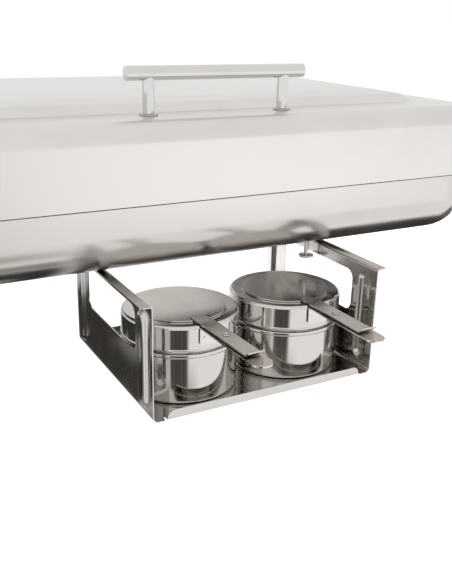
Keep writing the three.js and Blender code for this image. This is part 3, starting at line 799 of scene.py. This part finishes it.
for row in frame["record"]["subparts"]:
    cad_mesh = frame["nodes"][row["node"]].data
    cad_mesh.materials.clear()
    cad_mesh.materials.append(MATERIALS[row["material_slot"]])

# ---- floor, cards, light and camera ----

FLOOR_GLOW = 0.97
TABLE_GLOW = 0.55
TABLE_EDGE = -195
FRONT_FLOOR = -250
WHITE = (1, 1, 1)
# The warm tint of the dark cards, which paint shade into the reflections.
BROWN = (1, 0.93, 0.86)


def flat(name, size, place, turn, material):
    """A rectangle that isn't part of the object. Sizes and places are in millimetres, turns in degrees."""
    reach_x, reach_y = (length / 2 * MM for length in size)
    corners = [(-reach_x, -reach_y, 0), (reach_x, -reach_y, 0), (reach_x, reach_y, 0), (-reach_x, reach_y, 0)]
    mesh = bpy.data.meshes.new(name)
    mesh.from_pydata(corners, [], [(0, 1, 2, 3)])
    mesh.materials.append(material)
    material.cycles.emission_sampling = "NONE"
    sheet = bpy.data.objects.new(name, mesh)
    sheet.location = [length * MM for length in place]
    sheet.rotation_euler = [math.radians(angle) for angle in turn]
    scene.collection.objects.link(sheet)
    return sheet


def floor():
    """The pale floor in view. The metal reflects a table with a front edge, and a lower floor before it."""
    material, _, _, shader = new_material("pale_floor")
    shader.inputs["Base Color"].default_value = (0.4, 0.4, 0.4, 1)
    shader.inputs["Roughness"].default_value = 0.9
    shader.inputs["Emission Color"].default_value = (1, 1, 1, 1)
    shader.inputs["Emission Strength"].default_value = FLOOR_GLOW
    ground = flat("floor", (60000, 60000), (0, 0, -0.5), (0, 0, 0), material)
    ground.visible_glossy = False
    ground.visible_diffuse = False
    material, _, _, shader = new_material("matt_table")
    shader.inputs["Base Color"].default_value = (0.4, 0.4, 0.4, 1)
    shader.inputs["Roughness"].default_value = 1
    shader.inputs["Specular IOR Level"].default_value = 0
    shader.inputs["Emission Color"].default_value = (1, 1, 1, 1)
    shader.inputs["Emission Strength"].default_value = TABLE_GLOW
    table = flat("table", (6000, 2400), (0, TABLE_EDGE + 1200, 0), (0, 0, 0), material)
    table.visible_camera = False
    table.visible_shadow = False
    card("front_floor", (20000, 20000), (0, TABLE_EDGE - 10000, FRONT_FLOOR), WHITE, 1.12, 1)


def card(name, size, place, colour, strength, soft, turn=(0, 0, 0), streak=0):
    """A soft-edged glowing card that only reflections see. Most cards paint shade, and some paint pools of
    light, into what the metal reflects; front_floor is the evenly bright lower floor itself.

    A streaked card is brighter by up to that much, in bands along its own Y.
    """
    material = bpy.data.materials.new(name)
    material.use_nodes = True
    nodes = material.node_tree.nodes
    links = material.node_tree.links
    nodes.clear()
    spot = nodes.new("ShaderNodeTexCoord")
    split = nodes.new("ShaderNodeSeparateXYZ")
    links.new(spot.outputs["Generated"], split.inputs["Vector"])
    mask = None
    for axis, length in zip(("X", "Y"), size):
        for start, stop in ((0, soft / length), (1, 1 - soft / length)):
            fade = ranged(nodes, links, split.outputs[axis], 0, 1, start, stop)
            if mask is None:
                mask = fade
                continue
            product = nodes.new("ShaderNodeMath")
            product.operation = "MULTIPLY"
            links.new(mask, product.inputs[0])
            links.new(fade, product.inputs[1])
            mask = product.outputs[0]
    glow = nodes.new("ShaderNodeEmission")
    glow.inputs["Color"].default_value = (*colour, 1)
    glow.inputs["Strength"].default_value = strength
    if streak:
        level_of = ranged(nodes, links, noise(nodes, links, 28, (1, 0.02, 1), 5), strength, strength + streak)
        links.new(level_of, glow.inputs["Strength"])
    clear = nodes.new("ShaderNodeBsdfTransparent")
    mix = nodes.new("ShaderNodeMixShader")
    output = nodes.new("ShaderNodeOutputMaterial")
    links.new(mask, mix.inputs["Fac"])
    links.new(clear.outputs[0], mix.inputs[1])
    links.new(glow.outputs[0], mix.inputs[2])
    links.new(mix.outputs[0], output.inputs["Surface"])
    sheet = flat(name, size, place, turn, material)
    sheet.visible_camera = False
    sheet.visible_diffuse = False
    sheet.visible_shadow = False


def light():
    world = bpy.data.worlds.new("studio")
    scene.world = world
    world.use_nodes = True
    background = world.node_tree.nodes["Background"]
    background.inputs["Color"].default_value = (1, 1, 1, 1)
    background.inputs["Strength"].default_value = 1.0
    world.cycles_visibility.diffuse = False
    lamp = bpy.data.lights.new("softbox", "AREA")
    lamp.shape = "RECTANGLE"
    lamp.size = 2.2
    lamp.size_y = 1.6
    lamp.energy = 75
    box = bpy.data.objects.new("softbox", lamp)
    box.location = (0.15, -0.6, 1.7)
    box.visible_camera = False
    box.visible_glossy = False
    scene.collection.objects.link(box)


YAW = 28.75
PITCH = 20.03
ROLL = 1.32
LENS = 47.49
EYE_X = -0.31871
EYE_BEFORE_RACK = 0.4997
EYE_ABOVE_RACK = 0.31009


def camera():
    low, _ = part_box("rack_tray")
    yaw, pitch, roll = (math.radians(angle) for angle in (YAW, PITCH, ROLL))
    ahead = Vector((math.sin(yaw) * math.cos(pitch), math.cos(yaw) * math.cos(pitch), -math.sin(pitch)))
    level_right = Vector((math.cos(yaw), -math.sin(yaw), 0))
    level_up = level_right.cross(ahead)
    right = math.cos(roll) * level_right + math.sin(roll) * level_up
    up = -math.sin(roll) * level_right + math.cos(roll) * level_up
    data = bpy.data.cameras.new("camera")
    data.lens = LENS
    data.sensor_width = 36
    eye = bpy.data.objects.new("camera", data)
    axes = Matrix((right, up, -ahead)).transposed().to_4x4()
    spot = Vector((EYE_X, low.y - EYE_BEFORE_RACK, low.z + EYE_ABOVE_RACK))
    eye.matrix_world = Matrix.Translation(spot) @ axes
    scene.collection.objects.link(eye)
    scene.camera = eye


floor()
# Over the lower floor, glow paints a broad pool of light and near_shade paints shade, seen only in
# reflections.
card("glow", (2600, 2600), (1150, -2250, FRONT_FLOOR + 2), WHITE, 1.75, 1200)
card("near_shade", (500, 480), (-170, -590, FRONT_FLOOR + 4), BROWN, 0.55, 160)
# On the table under the body, dark_left, grey_left, dark_right and dark_back paint the shadow that the dish
# casts, and light_patch and bright_middle paint patches of light, seen only in reflections.
card("dark_left", (230, 350), (-215, 35, 1), BROWN, 0.045, 25)
card("grey_left", (230, 75), (-215, -160, 1.5), BROWN, 0.35, 20)
card("light_patch", (60, 80), (-180, -12, 2), WHITE, 0.35, 20)
card("dark_right", (480, 300), (345, -15, 1), BROWN, 0.05, 30)
card("dark_back", (460, 240), (420, 255, 1.5), BROWN, 0.05, 40)
card("bright_middle", (320, 240), (30, 215, 2), WHITE, 1.6, 60)
# Dark upright cards before the dish paint dark bands into the side reflections, brighter in streaks.
card("dark_room", (400, 520), (-306, -620, -140), BROWN, 0.03, 60, turn=(90, 0, -29), streak=0.12)
card("side_room", (190, 520), (-519, -440, -140), BROWN, 0.1, 30, turn=(90, 0, -56), streak=0.7)
light()
camera()
scene.view_settings.view_transform = "Standard"
scene.cycles.glossy_bounces = 8
